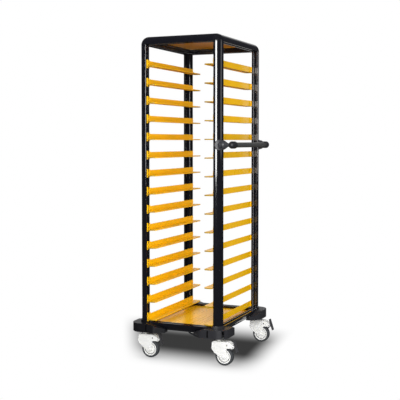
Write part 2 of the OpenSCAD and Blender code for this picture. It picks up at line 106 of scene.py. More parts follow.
def step(wire, low, high):
    """A soft mask that rises from 0 to 1 as the wire goes from low to high."""
    limits = {"Value": wire, "From Min": low, "From Max": high}
    return wire.node("MapRange", {"interpolation_type": "SMOOTHSTEP"}, limits)


def tint(mask, first, second):
    """The first colour where the mask is 0 and the second where it is 1, by the Mix node's colour sockets."""
    shades = [c if isinstance(c, Wire) else (*c, 1.0) for c in (first, second)]
    return mask.node("Mix", {"data_type": "RGBA"}, {0: mask, 6: shades[0], 7: shades[1]}, 2)


FLOOR_HALF = 14.0
SHADE_DEPTH = 0.957
SHADE_LEFT = (-0.560, -0.347)
SHADE_LEFT_SLANT = 0.56
SHADE_RIGHT = (0.242, 0.428)
SHADE_RIGHT_SLANT = 0.11
SHADE_FRONT = (-0.482, -0.020)
SHADE_BACK = (0.216, 0.728)
CONTACT_REACH = 0.07
CONTACT_SHARE = 0.3
BLACK = (0.0, 0.0, 0.0)
WHITE = (1.0, 1.0, 1.0)
FLOOR_BOUNCE = (0.17, 0.17, 0.17, 1.0)
FLOOR_DIM = (0.05, 0.05, 0.05)
FLOOR_FAR = (0.14, 0.14, 0.14)
FAR_RANGE = (3.0, 9.0)
ground = bmesh.new()
bmesh.ops.create_grid(ground, x_segments=8, y_segments=8, size=FLOOR_HALF)
floor = bpy.data.objects.new("floor", bpy.data.meshes.new("floor"))
ground.to_mesh(floor.data)
ground.free()
bpy.context.scene.collection.objects.link(floor)
paper = bpy.data.materials.new("white_paper")
paper.use_nodes = True
paper.node_tree.nodes.clear()
sheet = Wire(paper.node_tree)
spot = sheet.node("TexCoord", {}, {}, "Object")
floor_x = sheet.node("SeparateXYZ", {}, {0: spot}, "X")
floor_y = sheet.node("SeparateXYZ", {}, {0: spot}, "Y")
# Painted shadow: a soft dark patch under the trolley and a contact shade from AO are put into the floor's
# colour.
from_left = step(floor_x + SHADE_LEFT_SLANT * floor_y, *SHADE_LEFT)
from_right = 1.0 - step(floor_x + SHADE_RIGHT_SLANT * floor_y, *SHADE_RIGHT)
from_front = step(floor_y, *SHADE_FRONT)
from_back = 1.0 - step(floor_y, *SHADE_BACK)
shadow_under = from_left * from_right * from_front * from_back
openness = sheet.node("AmbientOcclusion", {"samples": 16}, {"Distance": CONTACT_REACH}, "AO")
contact_shade = (1.0 - CONTACT_SHARE) + CONTACT_SHARE * openness
floor_to_eye = tint((1.0 - SHADE_DEPTH * shadow_under) * contact_shade, BLACK, WHITE)
floor_to_gloss = tint(step(floor_y, *FAR_RANGE), FLOOR_DIM, FLOOR_FAR)
floor_glow = tint(sheet.node("LightPath", {}, {}, "Is Glossy Ray"), floor_to_eye, floor_to_gloss)
plain = sheet.node("Emission", {}, {"Color": floor_glow, "Strength": 1.0})
bounced = sheet.node("BsdfDiffuse", {}, {"Color": FLOOR_BOUNCE})
by_ray = sheet.node("LightPath", {}, {}, "Is Diffuse Ray")
floor_skin = sheet.node("MixShader", {}, {0: by_ray, 1: plain, 2: bounced})
floor_skin.feeds(paper.node_tree.nodes.new("ShaderNodeOutputMaterial"), "Surface")
floor.data.materials.append(paper)

# Studio light
# A white surround to the eye. The trolley sees a dim room, bright only behind it, and large soft boxes: the
# main one beside the viewpoint, and weaker ones at the right, overhead, behind, and low for the casters.
ROOM_BACK = (-0.397, 0.918, 0.0)
ROOM_RIGHT = (0.918, 0.397, 0.0)
HORIZON = (0.01, 0.10)
RIGHT_HALF = (-0.02, 0.04)
BACK_GLOW = (0.84, 0.95)
LOW_GLOW = 0.6
ROOM_DIM = (0.05, 0.05, 0.055)
ROOM_BRIGHT = (0.75, 0.75, 0.75)
ROOM_FILL = (0.28, 0.28, 0.29)
surround = bpy.data.worlds.new("surround")
bpy.context.scene.world = surround
surround.use_nodes = True
facing = Wire(surround.node_tree)
direction = facing.node("TexCoord", {}, {}, "Generated")
backwards = facing.node("VectorMath", {"operation": "DOT_PRODUCT"}, {0: direction, 1: ROOM_BACK}, "Value")
rightwards = facing.node("VectorMath", {"operation": "DOT_PRODUCT"}, {0: direction, 1: ROOM_RIGHT}, "Value")
above = step(facing.node("SeparateXYZ", {}, {0: direction}, "Z"), *HORIZON)
below_right = (1.0 - above) * step(rightwards, *RIGHT_HALF)
glow = step(backwards, *BACK_GLOW) * (above + LOW_GLOW * below_right)
room = tint(glow, ROOM_DIM, ROOM_BRIGHT)
eye_or_gloss = tint(facing.node("LightPath", {}, {}, "Is Glossy Ray"), WHITE, room)
brightness = tint(facing.node("LightPath", {}, {}, "Is Diffuse Ray"), eye_or_gloss, ROOM_FILL)
backing = surround.node_tree.nodes["Background"]
brightness.feeds(backing, "Color")
backing.inputs["Strength"].default_value = 1.0


def soft_box(name, turn, distance, height, aim, wide, tall, watts, reflected=True):
    """A soft light at a turn from the front towards the right, aimed at a height on the trolley."""
    lamp = bpy.data.lights.new(name, "AREA")
    lamp.shape = "RECTANGLE"
    lamp.size = wide
    lamp.size_y = tall
    lamp.energy = watts
    box = bpy.data.objects.new(name, lamp)
    box.location = (distance * sin(radians(turn)), -distance * cos(radians(turn)), height)
    box.rotation_euler = (Vector((0.0, 0.0, aim)) - box.location).to_track_quat("-Z", "Y").to_euler()
    box.visible_camera = False
    box.visible_glossy = reflected
    bpy.context.scene.collection.objects.link(box)


soft_box("main_light", turn=22.5, distance=4.9, height=2.0, aim=1.1, wide=1.6, tall=2.4, watts=255.0)
soft_box("right_strip", turn=93.0, distance=4.2, height=2.2, aim=1.0, wide=1.2, tall=2.4, watts=13.0)
soft_box("right_light", turn=98.0, distance=4.2, height=1.6, aim=1.0, wide=2.0, tall=2.4, watts=5.0,
         reflected=False)
soft_box("low_light", turn=50.0, distance=3.2, height=0.32, aim=0.10, wide=1.6, tall=0.40, watts=26.0,
         reflected=False)
soft_box("top_light", turn=0.0, distance=0.4, height=3.9, aim=0.0, wide=3.0, tall=3.0, watts=77.0,
         reflected=False)
soft_box("back_light", turn=228.0, distance=4.6, height=2.0, aim=0.9, wide=2.0, tall=1.0, watts=185.0,
         reflected=False)


# Posts and rails
# Twelve lengths of one quarter-round aluminium extrusion, slotted in each flat face and coated gloss black.
# They are cut square: the base rails butt on the posts, and spigots in the hollow cores join the top ones.
# The slots' lips on the handle's side are painted light grey, a painted highlight, and dulled by dust
# elsewhere.
def finish(name, **constants):
    """A new finish: its material, its surface shader and a wire of the piece's own coordinates."""
    material = bpy.data.materials.new(name)
    material.use_nodes = True
    surface = material.node_tree.nodes["Principled BSDF"]
    for socket, value in constants.items():
        surface.inputs[socket.replace("_", " ")].default_value = value
    place = Wire(material.node_tree).node("TexCoord", {}, {}, "Object")
    return material, surface, place


def grain(place, size, detail=2.0, stretch=(1.0, 1.0, 1.0)):
    """Noise with about one patch in each size, in metres, drawn out along the axes by stretch."""
    spread = place.node("Mapping", {}, {"Vector": place, "Scale": tuple(1.0 / (size * s) for s in stretch)})
    return place.node("TexNoise", {}, {"Vector": spread, "Scale": 1.0, "Detail": detail})


def coat(surface, colour, roughness, height, depth, strength):
    """Feeds a finish's colour, roughness and fine relief to its surface."""
    colour.feeds(surface, "Base Color")
    roughness.feeds(surface, "Roughness")
    bump = height.node("Bump", {}, {"Height": height, "Strength": strength, "Distance": depth})
    bump.feeds(surface, "Normal")


def clouded(name, patch, detail, dark, light, smooth, dull, relief, depth, strength, **constants):
    """A finish that drifts in patches between two colours and two roughnesses. Relief is a size and a detail,
    or None where the patches are the relief too."""
    material, surface, place = finish(name, **constants)
    cloud = grain(place, patch, detail)
    height = grain(place, *relief) if relief else cloud
    coat(surface, tint(cloud, dark, light), smooth + (dull - smooth) * cloud, height, depth, strength)
    return material


def solid_copy(node):
    """A merged working copy of a CAD solid, with flat faces in one piece."""
    shape = bmesh.new()
    shape.from_mesh(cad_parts[node].data)
    bmesh.ops.remove_doubles(shape, verts=shape.verts, dist=TOUCH)
    bmesh.ops.dissolve_limit(shape, angle_limit=radians(0.3), verts=shape.verts, edges=shape.edges)
    return shape


def round_edges(shape, width, segments=2, pick=None, sharp=30.0):
    """Rounds the edges sharper than an angle, or those of them that pick chooses, and gives the new faces."""
    edges = [e for e in shape.edges if len(e.link_faces) == 2 and e.calc_face_angle() > radians(sharp)]
    if pick:
        edges = [e for e in edges if pick(e)]
    made = bmesh.ops.bevel(shape, geom=edges, offset=width, offset_type="OFFSET", segments=segments,
                           profile=0.5, affect="EDGES", clamp_overlap=True, material=-1)
    return made["faces"]


def sides_touched(edge, low, high, axes):
    """How many of a box's sides, square to the given axes, the edge's first end lies on."""
    point = edge.verts[0].co
    return sum(min(abs(point[axis] - low[axis]), abs(point[axis] - high[axis])) < TOUCH for axis in axes)


def runs_along(edge, axis):
    """Whether an outward edge runs along an axis."""
    way = (edge.verts[1].co - edge.verts[0].co).normalized()
    return abs(way[axis]) > 0.99 and edge.calc_face_angle_signed() > 0.0


def piece(name, shape, materials, body, slot, *nodes, crease=38.0):
    """Makes the working shape a piece that rides on a body and stands for the CAD nodes."""
    mesh = bpy.data.meshes.new(name)
    shape.to_mesh(mesh)
    shape.free()
    mesh.shade_smooth()
    mesh.set_sharp_from_angle(angle=radians(crease))
    for material in materials:
        mesh.materials.append(material)
    made = bpy.data.objects.new(name, mesh)
    bpy.context.scene.collection.objects.link(made)
    even = made.modifiers.new("even_normals", "WEIGHTED_NORMAL")
    even.keep_sharp = True
    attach(made, body)
    if nodes:
        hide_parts(*nodes)


CORNERS = ("fl", "fr", "bl", "br")
SIDES = ("front", "back", "left", "right")
LENGTHS = [f"post_{c}" for c in CORNERS] + [f"{row}_rail_{s}" for row in ("base", "top") for s in SIDES]
HIGHLIT_LENGTHS = ("post_fr", "post_br", "base_rail_right")
TOUCH = 1e-5
OUTER_ROUND = 0.0055
LIP_ROUND = 0.0022
CUT_ROUND = 0.0012
gloss_black = clouded(
    "gloss_black_coat", patch=0.16, detail=4.0, dark=(0.0024, 0.0024, 0.0040), light=(0.0046, 0.0046, 0.0066),
    smooth=0.07, dull=0.12, relief=(0.0022, 1.0), depth=0.0001, strength=0.03, IOR=1.60)
# Painted highlight: a light grey on the slot lips of the right-hand lengths stands for the reflections along
# them.
lip_highlight = clouded(
    "slot_lip_painted_highlight", patch=0.30, detail=3.0, dark=(0.110, 0.110, 0.118), light=(0.180, 0.180, 0.190),
    smooth=0.40, dull=0.52, relief=(0.0022, 1.0), depth=0.0001, strength=0.05, IOR=1.3)
dull_lip = clouded(
    "dull_slot_lip", patch=0.30, detail=3.0, dark=(0.0024, 0.0024, 0.0040), light=(0.0060, 0.0060, 0.0080),
    smooth=0.45, dull=0.57, relief=None, depth=0.0001, strength=0.05, IOR=1.2)
for node in LENGTHS:
    length = solid_copy(node)
    low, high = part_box(node)
    run = max(range(3), key=lambda axis: high[axis] - low[axis])
    flats = [axis for axis in range(3) if axis != run]

    def outer_corner(edge):
        return runs_along(edge, run) and sides_touched(edge, low, high, flats) == 2

    def slot_lip(edge):
        return runs_along(edge, run) and sides_touched(edge, low, high, flats) == 1

    round_edges(length, OUTER_ROUND, segments=6, pick=outer_corner)
    # Lip faces on the right-hand lengths take the painted highlight.
    for face in round_edges(length, LIP_ROUND, segments=4, pick=slot_lip, sharp=80.0):
        face.material_index = 1 if node in HIGHLIT_LENGTHS else 2
    round_edges(length, CUT_ROUND, sharp=50.0)
    finishes = [gloss_black, lip_highlight, dull_lip]
    piece(node + "_length", length, finishes, "frame", "black_extrusion", node)

# Top corners
# An eighth of a ball moulded in black plastic with three spigots. They are driven into the ends of two rails
# and a post, so the round faces run on into each other.
CORNER_ROUND = 0.0007
corner_black = clouded(
    "moulded_black", patch=0.05, detail=3.0, dark=(0.0040, 0.0040, 0.0054), light=(0.0070, 0.0070, 0.0088),
    smooth=0.09, dull=0.15, relief=(0.0016, 2.0), depth=0.0001, strength=0.04, IOR=1.45)
corners = solid_copy("top_corners")
round_edges(corners, CORNER_ROUND)
piece("top_corner_balls", corners, [corner_black], "frame", "black_moulding", "top_corners")

# Top panel and base deck
# Steel sheets, powder coated in warm yellow, with a black edging strip along all four sides that is pushed
# into the slots of the rails. The deck has been wiped smooth, and undersides are painted darker, a painted
# shade.
PANEL_ROUND = 0.0006
EDGING_BELOW = 0.0024
YELLOW_DEEP = (0.91, 0.490, 0.0022)
YELLOW_PALE = (0.96, 0.532, 0.0030)
YELLOW_UNDER_SHADE = (0.30, 0.110, 0.035)
YELLOW_WIPED = (0.86, 0.480, 0.014)
UNDER_SHADE_SHARE = 0.55
WIPED_SHARE = 0.35
sheet_yellow, sheet_surface, sheet_place = finish("yellow_powder_coat", IOR=1.45)
drift = grain(sheet_place, 0.22, 3.0)
wipe = step(grain(sheet_place, 0.012, 3.0, stretch=(1.0, 26.0, 1.0)), 0.52, 0.78)
sheet_normal = sheet_place.node("TexCoord", {}, {}, "Normal")
sheet_tilt = sheet_place.node("SeparateXYZ", {}, {0: sheet_normal}, "Z")
# Painted shade: faces that look down are mixed towards a dark brown.
underside = 1.0 - step(sheet_tilt, -0.95, -0.70)
wiped = wipe * step(sheet_tilt, 0.70, 0.95)
coated = tint(drift, YELLOW_DEEP, YELLOW_PALE)
under_shaded = tint(UNDER_SHADE_SHARE * underside, coated, YELLOW_UNDER_SHADE)
yellow = tint(WIPED_SHARE * wiped, under_shaded, YELLOW_WIPED)
sheet_relief = grain(sheet_place, 0.0018, 2.0)
coat(sheet_surface, yellow, 0.25 + 0.08 * drift - 0.07 * wiped, sheet_relief, depth=0.0001, strength=0.10)
for node in ("top_panel", "base_deck"):
    panel = solid_copy(node)
    panel_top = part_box(node)[1].z
    round_edges(panel, PANEL_ROUND)
    for face in panel.faces:
        face.material_index = int(face.calc_center_median().z < panel_top - EDGING_BELOW)
    piece(node + "_sheet", panel, [sheet_yellow, corner_black], "frame", "yellow_sheet", node)

# Tray runners
# Thirty angles pressed from steel sheet in the same yellow: an upright band, a ledge with a turned-down lip,
# and ribs that bear on the posts, with short teeth at the front. The ledge's front faces are painted dark, a
# painted shade.
LEVELS = 15
SHEET = 0.0016
REACH = 0.055
LIP = 0.006
LEDGE_CORNER = 0.018
LEDGE_ROUND = 0.0005
STAND_OFF = 0.006
BAND = 0.034
BAND_RISE = 0.0002
BAND_SHORT = 0.019
BAND_ROUND = 0.0004
RIB = 0.003
RIB_TOP = 0.042
FIRST_RIB_LEFT = 0.010
FIRST_RIB_RIGHT = 0.027
FRONT_RIB = 0.035
BACK_RIBS = (0.035, 0.021)
FRONT_TOOTH = 0.0065
BACK_TOOTH = -0.001
front_lip_shade = clouded(
    "yellow_lip_painted_shade", patch=0.012, detail=4.0, dark=(0.26, 0.155, 0.003), light=(0.46, 0.270, 0.004),
    smooth=0.36, dull=0.52, relief=None, depth=0.0001, strength=0.2, IOR=1.45)


def add_shape(shape, more):
    """Moves the faces of one working shape into another."""
    mesh = bpy.data.meshes.new("more")
    more.to_mesh(mesh)
    more.free()
    shape.from_mesh(mesh)
    bpy.data.meshes.remove(mesh)


def block(shape, low, high):
    """Adds a box between two corners."""
    place = Matrix.Translation((low + high) / 2) @ Matrix.Diagonal((*(high - low), 1.0))
    bmesh.ops.create_cube(shape, size=1.0, matrix=place)


for number in range(1, LEVELS + 1):
    node = f"runners_{number:02d}"
    low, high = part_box(node)
    ledge_z = high.z - RIB_TOP
    pair = bmesh.new()
    for wall, way, first_rib in ((low.x, 1.0, FIRST_RIB_LEFT), (high.x, -1.0, FIRST_RIB_RIGHT)):

        def span(near, far, front, back, bottom, top):
            xs = sorted((wall + way * near, wall + way * far))
            return Vector((xs[0], front, ledge_z + bottom)), Vector((xs[1], back, ledge_z + top))

        ledge = bmesh.new()
        block(ledge, *span(STAND_OFF + SHEET / 2, REACH, low.y, high.y, 0.0, LIP))
        upright = [e for e in ledge.edges if abs(e.verts[0].co.z - e.verts[1].co.z) > LIP / 2]
        free_corners = [e for e in upright if abs(e.verts[0].co.x - wall) > REACH / 2]
        bmesh.ops.bevel(ledge, geom=free_corners, offset=LEDGE_CORNER, offset_type="OFFSET", segments=8,
                        profile=0.5, affect="EDGES", material=-1)
        hollow = [f for f in ledge.faces if f.normal.z < -0.9]
        bmesh.ops.inset_region(ledge, faces=hollow, thickness=SHEET, use_even_offset=True)
        pocket = bmesh.ops.extrude_discrete_faces(ledge, faces=hollow)["faces"]
        pocket_verts = list({v for f in pocket for v in f.verts})
        bmesh.ops.translate(ledge, vec=(0.0, 0.0, LIP - SHEET), verts=pocket_verts)
        round_edges(ledge, LEDGE_ROUND, sharp=50.0)
        for face in ledge.faces:
            # Painted shade: the ledge's front-facing faces take the dark finish.
            face.material_index = int(face.normal.y < -0.6)
        add_shape(pair, ledge)

        band = bmesh.new()
        band_ends = (low.y + BAND_SHORT, high.y - BAND_SHORT)
        block(band, *span(STAND_OFF, STAND_OFF + SHEET, *band_ends, BAND_RISE, BAND))
        ribs = [(low.y + place, FRONT_TOOTH) for place in (first_rib, FRONT_RIB)]
        ribs += [(high.y - place, BACK_TOOTH) for place in BACK_RIBS]
        for rib, tooth in ribs:
            rib_ends = (rib - RIB / 2, rib + RIB / 2)
            block(band, *span(0.0, STAND_OFF + SHEET / 2, *rib_ends, -tooth, BAND + tooth))
        round_edges(band, BAND_ROUND, sharp=50.0)
        add_shape(pair, band)
    piece(node + "_pair", pair, [sheet_yellow, front_lip_shade], "frame", "yellow_sheet", node)

# Runner bolts
# Hammer-head bolts turned into the posts' slots, each with a thin hexagon nut on the runner's band. They were
# coated together with the runners, so only their edges show.
THIN_NUT = 0.4
BOLT_ROUND = 0.0004
bolts = solid_copy("runner_bolts")
for post_face, way in ((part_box("post_fl")[1].x, 1.0), (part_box("post_fr")[0].x, -1.0)):
    band_face = post_face + way * (STAND_OFF + SHEET)
    for vert in bolts.verts:
        past = (vert.co.x - band_face) * way
        if vert.co.x * way < 0.0 and past > 0.0:
            vert.co.x = band_face + way * past * THIN_NUT
round_edges(bolts, BOLT_ROUND, segments=1, sharp=50.0)
piece("runner_bolt_set", bolts, [sheet_yellow], "frame", "zinc_steel", "runner_bolts")

# Corner bumpers
# Shells moulded in charcoal polypropylene, with a soft top edge, slits that let them give, and a collar round
# the post's foot. The two on the handle's side are painted lighter, as painted light, and the other two
# darker, as painted shade; doorways have scuffed all four. Near-black webs behind the slits are painted
# shade.
RIM_ROUND = 0.0028
FOOT_EDGE = 0.001
COLLAR_FOOT = 0.012
SLIT_NEAR = 0.010
SLIT_FAR = 0.021
WEB_FRONT = 0.0038
WEB_BACK = 0.0054
WEB_BOTTOM = 0.004
WEB_BELOW_TOP = 0.012
CORNER_GAP = 0.0588
GAP_HALF = 0.021
GAP_PLATE = 0.001
GAP_BOTTOM = 0.014
GAP_BELOW_TOP = 0.019
SHADED_SIDE_DARK = (0.0020, 0.0020, 0.0034)
SHADED_SIDE_LIGHT = (0.0040, 0.0040, 0.0058)
LIT_SIDE_DARK = (0.0150, 0.0150, 0.0180)
LIT_SIDE_LIGHT = (0.0220, 0.0220, 0.0255)
SCUFFED = (0.030, 0.030, 0.034)
SCUFF_SHARE = 0.4
PITS_PER_METRE = 900.0
charcoal, charcoal_surface, charcoal_place = finish("charcoal_grained_plastic", IOR=1.46)
pits = charcoal_place.node("TexVoronoi", {}, {"Vector": charcoal_place, "Scale": PITS_PER_METRE}, "Distance")
mottle = grain(charcoal_place, 0.06, 4.0)
scuff = step(grain(charcoal_place, 0.005, 4.0, stretch=(5.0, 5.0, 0.6)), 0.60, 0.80)
# Painted light and shade: the bumpers are coloured lighter towards the right, where the light falls, and
# darker on the left.
light_side_mask = step(charcoal_place.node("SeparateXYZ", {}, {0: charcoal_place}, "X"), -0.20, 0.22)
shaded_side = tint(mottle, SHADED_SIDE_DARK, SHADED_SIDE_LIGHT)
lit_side = tint(mottle, LIT_SIDE_DARK, LIT_SIDE_LIGHT)
charcoal_colour = tint(SCUFF_SHARE * scuff, tint(light_side_mask, shaded_side, lit_side), SCUFFED)
charcoal_roughness = 0.34 + 0.14 * mottle - 0.04 * scuff
coat(charcoal_surface, charcoal_colour, charcoal_roughness, pits, depth=0.0002, strength=0.22)
# Painted shade: this near-black finish stands for the dark inside the slits.
slit_shade = clouded(
    "slit_painted_shade_black", patch=0.01, detail=3.0, dark=(0.0006, 0.0006, 0.0008), light=(0.0020, 0.0020, 0.0024),
    smooth=0.7, dull=0.9, relief=None, depth=0.0002, strength=0.3, IOR=1.2)
for c in CORNERS:
    node = f"bumper_{c}"
    low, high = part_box(node)
    shell = solid_copy(node)

    def outer_rim(edge):
        tilts = sorted((f.normal.z for f in edge.link_faces), key=abs)
        middle = (edge.verts[0].co.z + edge.verts[1].co.z) / 2
        on_top = tilts[1] > 0.8 and middle > low.z + COLLAR_FOOT
        at_foot = tilts[1] < -0.8 and middle < low.z + FOOT_EDGE
        return abs(tilts[0]) < 0.3 and (on_top or at_foot) and edge.calc_face_angle_signed() > 0.0

    round_edges(shell, RIM_ROUND, segments=4, pick=outer_rim)
    post_low, post_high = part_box(f"post_{c}")
    x_way = 1.0 if c[1] == "r" else -1.0
    y_way = 1.0 if c[0] == "b" else -1.0
    inner_x = post_low.x if x_way > 0 else post_high.x
    inner_y = post_low.y if y_way > 0 else post_high.y
    outer_x = high.x if x_way > 0 else low.x
    outer_y = high.y if y_way > 0 else low.y
    slit_x = [inner_x - x_way * reach for reach in (SLIT_NEAR, SLIT_FAR)]
    slit_y = [inner_y - y_way * reach for reach in (SLIT_NEAR, SLIT_FAR)]
    wall_x = [outer_x - x_way * reach for reach in (WEB_FRONT, WEB_BACK)]
    wall_y = [outer_y - y_way * reach for reach in (WEB_FRONT, WEB_BACK)]
    # Webs and a plate behind the slits and the corner gap, in the painted-shade black.
    shade_backs = bmesh.new()
    for xs, ys in ((slit_x, wall_y), (wall_x, slit_y)):
        foot = Vector((min(xs), min(ys), low.z + WEB_BOTTOM))
        head = Vector((max(xs), max(ys), high.z - WEB_BELOW_TOP))
        block(shade_backs, foot, head)
    gap_shade_back = bmesh.new()
    gap_top = high.z - low.z - GAP_BELOW_TOP
    gap_foot = Vector((CORNER_GAP, -GAP_HALF, GAP_BOTTOM))
    block(gap_shade_back, gap_foot, Vector((CORNER_GAP + GAP_PLATE, GAP_HALF, gap_top)))
    outwards = Matrix.Rotation(y_way * radians(90.0 - x_way * 45.0), 4, "Z")
    to_post = Matrix.Translation((inner_x, inner_y, low.z))
    bmesh.ops.transform(gap_shade_back, matrix=to_post @ outwards, verts=gap_shade_back.verts)
    add_shape(shade_backs, gap_shade_back)
    for face in shade_backs.faces:
        face.material_index = 1
    add_shape(shell, shade_backs)
    piece(node + "_shell", shell, [charcoal, slit_shade], "frame", "bumper_plastic", node)

# Handle clamps
# Black nylon mouldings: a curved pad screwed to the post's round face, a tapering neck, and an end ball with
# a collar that takes the bar. The moulding has generous fillets all over.
clamp_black = clouded(
    "moulded_nylon_black", patch=0.03, detail=3.0, dark=(0.024, 0.024, 0.028), light=(0.036, 0.036, 0.041),
    smooth=0.34, dull=0.46, relief=(0.0009, 2.0), depth=0.0002, strength=0.25, IOR=1.46)
end_black = clouded(
    "end_cap_black", patch=0.03, detail=3.0, dark=(0.010, 0.010, 0.012), light=(0.016, 0.016, 0.019),
    smooth=0.36, dull=0.48, relief=(0.0009, 2.0), depth=0.0002, strength=0.25, IOR=1.46)


def turned(outline, start, along, closed=True, steps=64):
    """Spins an outline of (radius, place along the line) points about the line that leaves start."""
    shape = bmesh.new()
    side = along.orthogonal().normalized()
    ring = [shape.verts.new(start + side * radius + along * place) for radius, place in outline]
    ends = zip(ring, ring[1:] + ring[:1]) if closed else zip(ring, ring[1:])
    edges = [shape.edges.new(pair) for pair in ends]
    bmesh.ops.spin(shape, geom=ring + edges, cent=start, axis=along, angle=radians(360.0), steps=steps,
                   use_merge=True)
    bmesh.ops.remove_doubles(shape, verts=shape.verts, dist=1e-6)
    bmesh.ops.recalc_face_normals(shape, faces=shape.faces)
    return shape


def melted(shape, voxel, rounds):
    """Fuses a working shape into one skin and softens it, as a mould with generous fillets does."""
    mesh = bpy.data.meshes.new("melted")
    shape.to_mesh(mesh)
    shape.free()
    lump = bpy.data.objects.new("melted", mesh)
    bpy.context.scene.collection.objects.link(lump)
    skin = lump.modifiers.new("skin", "REMESH")
    skin.mode = "VOXEL"
    skin.voxel_size = voxel
    fused = bmesh.new()
    fused.from_object(lump, bpy.context.evaluated_depsgraph_get())
    bpy.data.objects.remove(lump)
    for _ in range(rounds):
        bmesh.ops.smooth_vert(fused, verts=fused.verts, factor=0.5,
                              use_axis_x=True, use_axis_y=True, use_axis_z=True)
    return fused


BAR_CLEARANCE = 0.0002
SOCKET_DEPTH = 0.008
BALL_RADIUS = 0.0184
BALL_STRETCH = 1.08
BALL_REACH = 0.022
VOXEL = 0.0009
SOFTENING = 9
COLLAR_START = 0.002
COLLAR_END = 0.0455
COLLAR = [(0.0182, COLLAR_START), (0.0184, 0.020), (0.0182, 0.040), (0.0174, 0.044), (0.0158, COLLAR_END)]
NECK = [(0.0, 0.012), (0.0260, 0.012), (0.0262, 0.022), (0.0220, 0.031), (0.0160, 0.038), (0.0112, 0.045),
        (0.0090, 0.051), (0.0105, 0.057), (0.0, 0.060)]
bar_low, bar_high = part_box("handle_bar")
bar_x = (bar_low.x + bar_high.x) / 2
bar_z = (bar_low.z + bar_high.z) / 2
bore = (bar_high.z - bar_low.z) / 2 + BAR_CLEARANCE
collar_outline = [(bore, COLLAR_START), *COLLAR, (bore, COLLAR_END)]
for row, way, bar_end in (("front", -1.0, bar_low.y), ("back", 1.0, bar_high.y)):
    node = f"handle_clamp_{row}"
    post_low, post_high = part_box(f"post_{row[0]}r")
    post_width = post_high.x - post_low.x
    inner_y = post_high.y if way < 0 else post_low.y
    pad_x = post_low.x + post_width * cos(radians(45.0))
    pad_y = inner_y + way * post_width * sin(radians(45.0))
    pad = Vector((pad_x, pad_y, bar_z))
    ball = Vector((bar_x, bar_end - way * SOCKET_DEPTH, bar_z))
    clamp = solid_copy(node)
    add_shape(clamp, turned(NECK, pad, (ball - pad).normalized(), closed=False))
    collar = turned(collar_outline, ball, Vector((0.0, -way, 0.0)))
    bmesh.ops.create_uvsphere(collar, u_segments=48, v_segments=32, radius=BALL_RADIUS,
                              matrix=Matrix.Translation(ball))
    bmesh.ops.scale(collar, vec=(1.0, 1.0, BALL_STRETCH), space=Matrix.Translation(-ball), verts=collar.verts)
    add_shape(clamp, collar)
    moulding = melted(clamp, VOXEL, SOFTENING)
    for face in moulding.faces:
        from_ball = face.calc_center_median() - ball
        face.material_index = int(from_ball.length < BALL_REACH or -way * from_ball.y > 0.0)
    finishes = [clamp_black, end_black]
    piece(node + "_moulding", moulding, finishes, "frame", "handle_moulding", node, crease=70.0)

# Handle bar
# A drawn aluminium tube, anodised dark grey and brushed along its length. Its ends are pressed into the
# sockets of the two end balls, and hands have polished it in patches.
TUBE_DARK = (0.082, 0.084, 0.082)
TUBE_LIGHT = (0.112, 0.114, 0.112)
tube_grey, tube_surface, tube_place = finish("dark_anodised_tube", Metallic=0.55)
brushed = grain(tube_place, 0.0012, 3.0, stretch=(1.0, 60.0, 1.0))
grip = grain(tube_place, 0.09, 3.0)
tube_roughness = 0.30 + 0.10 * grip + 0.06 * brushed
coat(tube_surface, tint(grip, TUBE_DARK, TUBE_LIGHT), tube_roughness, brushed, depth=0.00012, strength=0.25)
tube = solid_copy("handle_bar")
piece("handle_bar_tube", tube, [tube_grey], "frame", "handle_tube", "handle_bar")

# Handle screws
# Zinc-plated pan-head screws, two to each clamp. They are driven from inside the post, through its wall and
# into the clamp's pad, so no head shows from outside.
SCREW_ROUND = 0.0006
zinc = clouded(
    "zinc_plate", patch=0.006, detail=4.0, dark=(0.47, 0.48, 0.50), light=(0.66, 0.67, 0.69),
    smooth=0.24, dull=0.46, relief=(0.0007, 2.0), depth=0.0001, strength=0.3, Metallic=1.0)
screws = solid_copy("handle_screws")
round_edges(screws, SCREW_ROUND)
piece("handle_screw_set", screws, [zinc], "frame", "zinc_steel", "handle_screws")

# Caster stems
# Turned steel stems, zinc plated, each with a head below the fork's crown and a plug in the foot of a post,
# which stands on the bumper's floor. The fork turns on the stem.
STEM_ROUND = 0.0006
stems = solid_copy("caster_stems")
round_edges(stems, STEM_ROUND)
piece("caster_stem_set", stems, [zinc], "frame", "zinc_steel", "caster_stems")

# Caster forks
# White nylon mouldings: a hood over the wheel with two cheeks, a swivel neck on top, and a horn with two ears
# for the brake pedal. All outer edges are moulded round.
CHEEK_ROUND = 0.0026
FORK_ROUND = 0.0008
nylon = clouded(
    "white_nylon", patch=0.03, detail=4.0, dark=(0.74, 0.74, 0.71), light=(0.80, 0.80, 0.775),
    smooth=0.30, dull=0.44, relief=(0.0016, 2.0), depth=0.0001, strength=0.12, IOR=1.50,
    Subsurface_Weight=0.35, Subsurface_Scale=1.0, Subsurface_Radius=(0.012, 0.012, 0.011))
for c in CORNERS:
    node = f"fork_{c}"
    fork = solid_copy(node)
    low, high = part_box(node)

    def cheek_rim(edge):
        tilts = sorted(abs(f.normal.y) for f in edge.link_faces)
        square = tilts[0] < 0.1 and tilts[1] > 0.99
        return square and sides_touched(edge, low, high, (1,)) == 1 and edge.calc_face_angle_signed() > 0.0

    round_edges(fork, CHEEK_ROUND, segments=4, pick=cheek_rim)
    round_edges(fork, FORK_ROUND, sharp=40.0)
    piece(node + "_moulding", fork, [nylon], f"swivel_{c}", "white_nylon", node)

# Axles and pedal pins
# Zinc-plated steel pins, two to each caster: the wheel's axle and the brake pedal's pin. Both are pressed
# through the fork and headed over.
PIN_ROUND = 0.0008
for c in CORNERS:
    pins = solid_copy(f"pins_{c}")
    round_edges(pins, PIN_ROUND)
    piece(f"pins_{c}_plated", pins, [zinc], f"swivel_{c}", "zinc_steel", f"pins_{c}")

